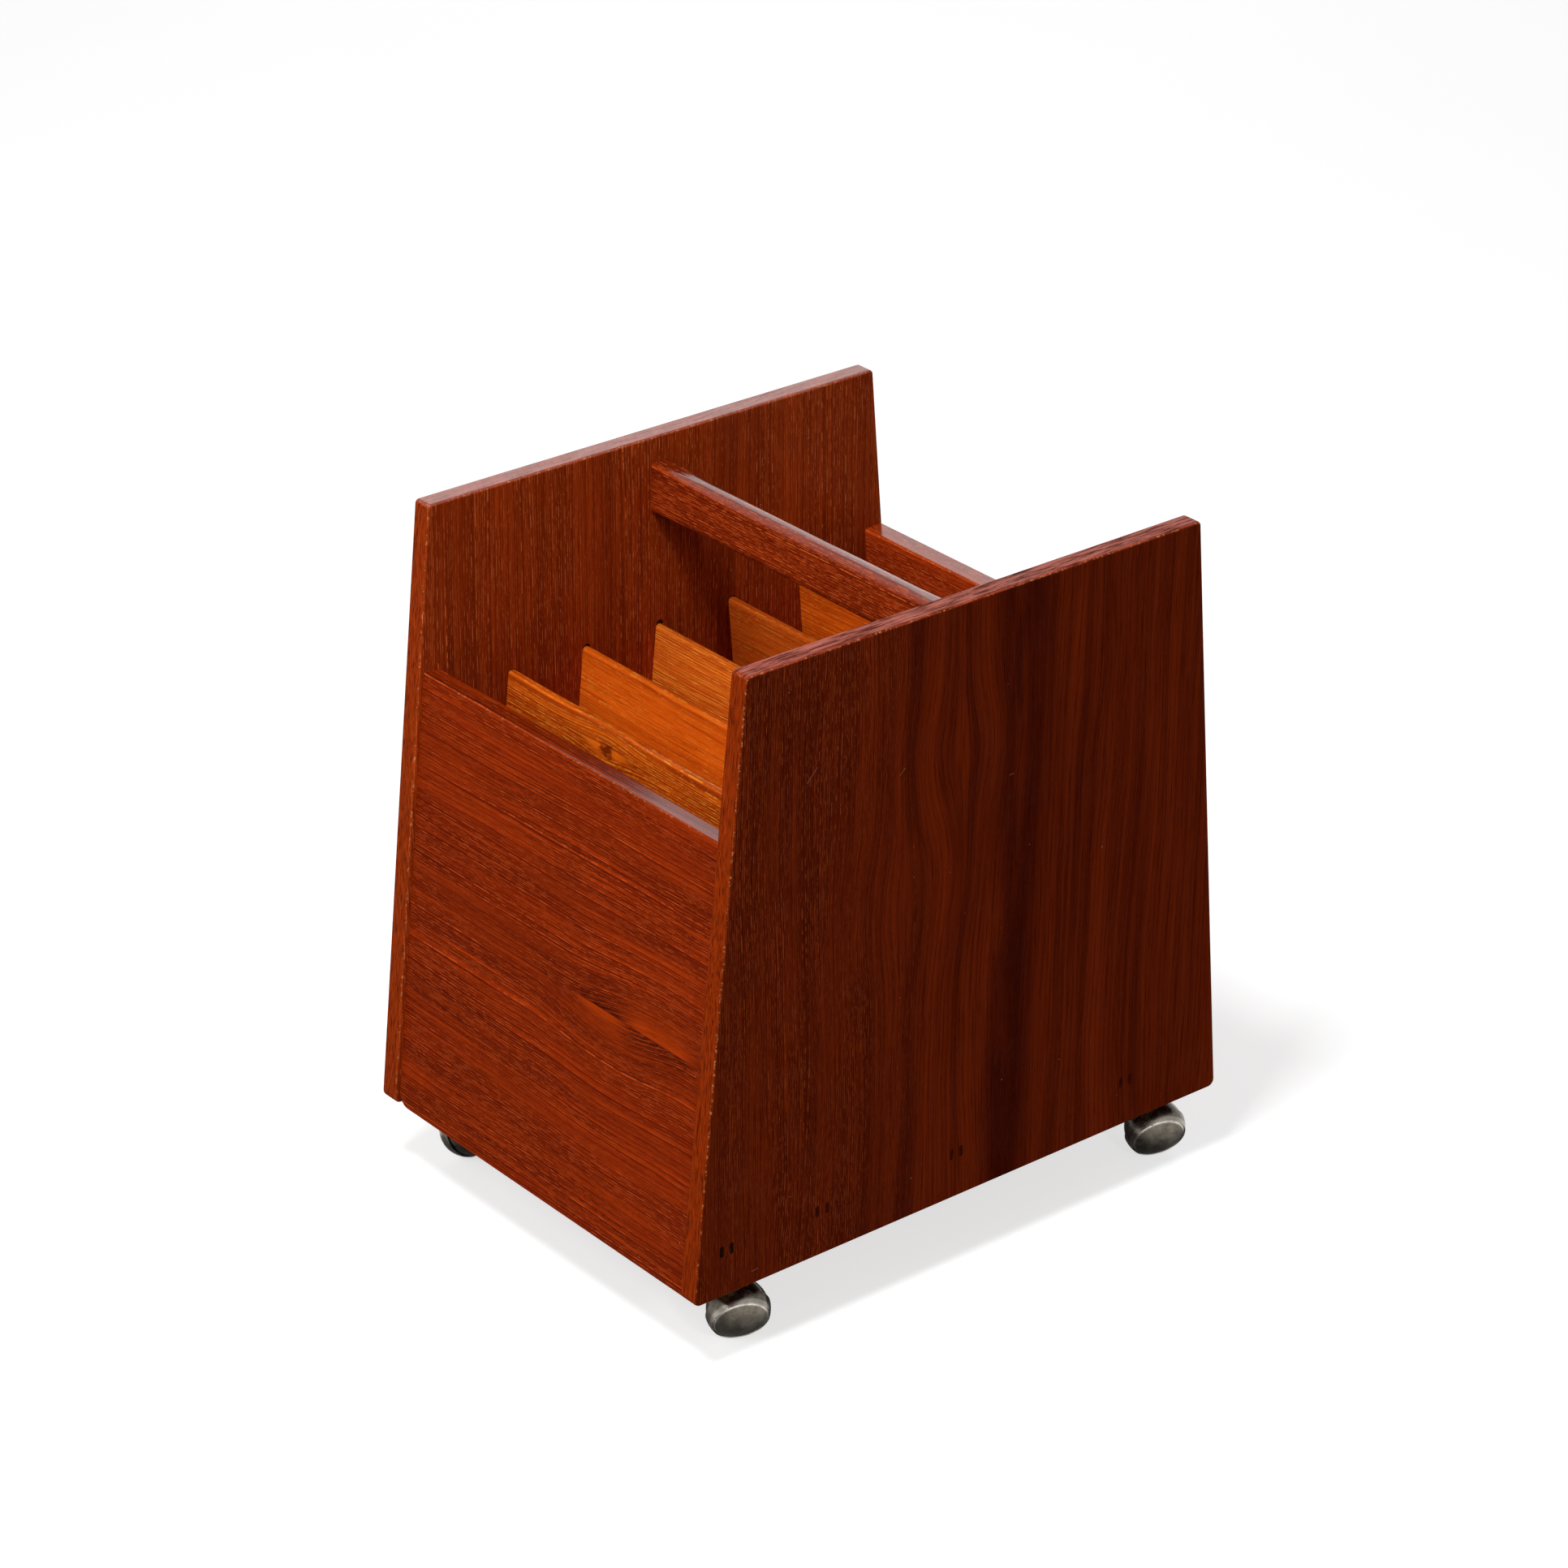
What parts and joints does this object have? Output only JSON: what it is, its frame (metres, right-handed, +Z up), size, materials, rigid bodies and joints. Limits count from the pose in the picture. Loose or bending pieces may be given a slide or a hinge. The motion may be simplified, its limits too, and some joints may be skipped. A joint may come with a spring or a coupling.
{
  "type": "magazine rack",
  "caption": "Teak magazine rack on ball castors, with sloping sides, leaning panels, fanned dividers and a handle bar.",
  "frame": {"origin": "on the floor, under the middle of the rack", "axes": "+Z up, +X to the rack's right side, +Y from the low-set front panel to the back panel"},
  "size_m": [0.332, 0.441, 0.472],
  "materials": {
    "teak_side": "dark reddish-brown oiled teak, satin",
    "teak_panel": "red-brown oiled teak, satin",
    "teak_handle": "red-brown oiled teak, polished by hands",
    "teak_divider": "golden teak board, satin",
    "plywood_board": "plain board, matt",
    "beech_rail": "bare hardwood",
    "steel_fixing": "bright zinc-plated steel",
    "dark_filler": "dark wax filler",
    "castor_metal": "pewter-grey cast metal, satin, worn bright on the tread"
  },
  "bodies": {
    "rack": {"side_panel_left": "teak_side", "side_panel_right": "teak_side", "front_panel": "teak_panel", "back_panel": "teak_panel", "bottom_board": "plywood_board", "handle": "teak_handle", "divider_1": "teak_divider", "divider_2": "teak_divider", "divider_3": "teak_divider", "divider_4": "teak_divider", "divider_5": "teak_divider", "castor_rail_left": "beech_rail", "castor_rail_right": "beech_rail", "front_panel_dowels": "beech_rail", "back_panel_dowels": "beech_rail", "handle_dowels": "beech_rail", "bottom_nails": "steel_fixing", "nail_fillers": "dark_filler", "rail_screws": "steel_fixing", "front_right_castor_socket": "steel_fixing", "back_right_castor_socket": "steel_fixing", "front_left_castor_socket": "steel_fixing", "back_left_castor_socket": "steel_fixing"},
    "front_right_swivel": {"front_right_castor_stem": "steel_fixing", "front_right_castor_hood": "castor_metal", "front_right_castor_axle": "steel_fixing"},
    "front_right_wheel": {"front_right_castor_wheel": "castor_metal"},
    "back_right_swivel": {"back_right_castor_stem": "steel_fixing", "back_right_castor_hood": "castor_metal", "back_right_castor_axle": "steel_fixing"},
    "back_right_wheel": {"back_right_castor_wheel": "castor_metal"},
    "front_left_swivel": {"front_left_castor_stem": "steel_fixing", "front_left_castor_hood": "castor_metal", "front_left_castor_axle": "steel_fixing"},
    "front_left_wheel": {"front_left_castor_wheel": "castor_metal"},
    "back_left_swivel": {"back_left_castor_stem": "steel_fixing", "back_left_castor_hood": "castor_metal", "back_left_castor_axle": "steel_fixing"},
    "back_left_wheel": {"back_left_castor_wheel": "castor_metal"}
  },
  "joints": [
    {"name": "front_right_castor_swivel", "type": "hinge", "parent": "rack", "child": "front_right_swivel", "pos_m": [0.1395, -0.1787, 0.052], "axis": [0, 0, 1], "continuous": true},
    {"name": "front_right_wheel_roll", "type": "hinge", "parent": "front_right_swivel", "child": "front_right_wheel", "pos_m": [0.14389, -0.16883, 0.021], "axis": [0.8384, -0.3733, -0.3971], "continuous": true},
    {"name": "back_right_castor_swivel", "type": "hinge", "parent": "rack", "child": "back_right_swivel", "pos_m": [0.1395, 0.1787, 0.052], "axis": [0, 0, 1], "continuous": true},
    {"name": "back_right_wheel_roll", "type": "hinge", "parent": "back_right_swivel", "child": "back_right_wheel", "pos_m": [0.14332, 0.1888, 0.021], "axis": [0.8585, -0.3244, -0.3971], "continuous": true},
    {"name": "front_left_castor_swivel", "type": "hinge", "parent": "rack", "child": "front_left_swivel", "pos_m": [-0.1395, -0.1787, 0.052], "axis": [0, 0, 1], "continuous": true},
    {"name": "front_left_wheel_roll", "type": "hinge", "parent": "front_left_swivel", "child": "front_left_wheel", "pos_m": [-0.14193, -0.16818, 0.021], "axis": [-0.8942, -0.2064, -0.3971], "continuous": true},
    {"name": "back_left_castor_swivel", "type": "hinge", "parent": "rack", "child": "back_left_swivel", "pos_m": [-0.1395, 0.1787, 0.052], "axis": [0, 0, 1], "continuous": true},
    {"name": "back_left_wheel_roll", "type": "hinge", "parent": "back_left_swivel", "child": "back_left_wheel", "pos_m": [-0.141, 0.18939, 0.021], "axis": [-0.9088, -0.1277, -0.3971], "continuous": true}
  ]
}
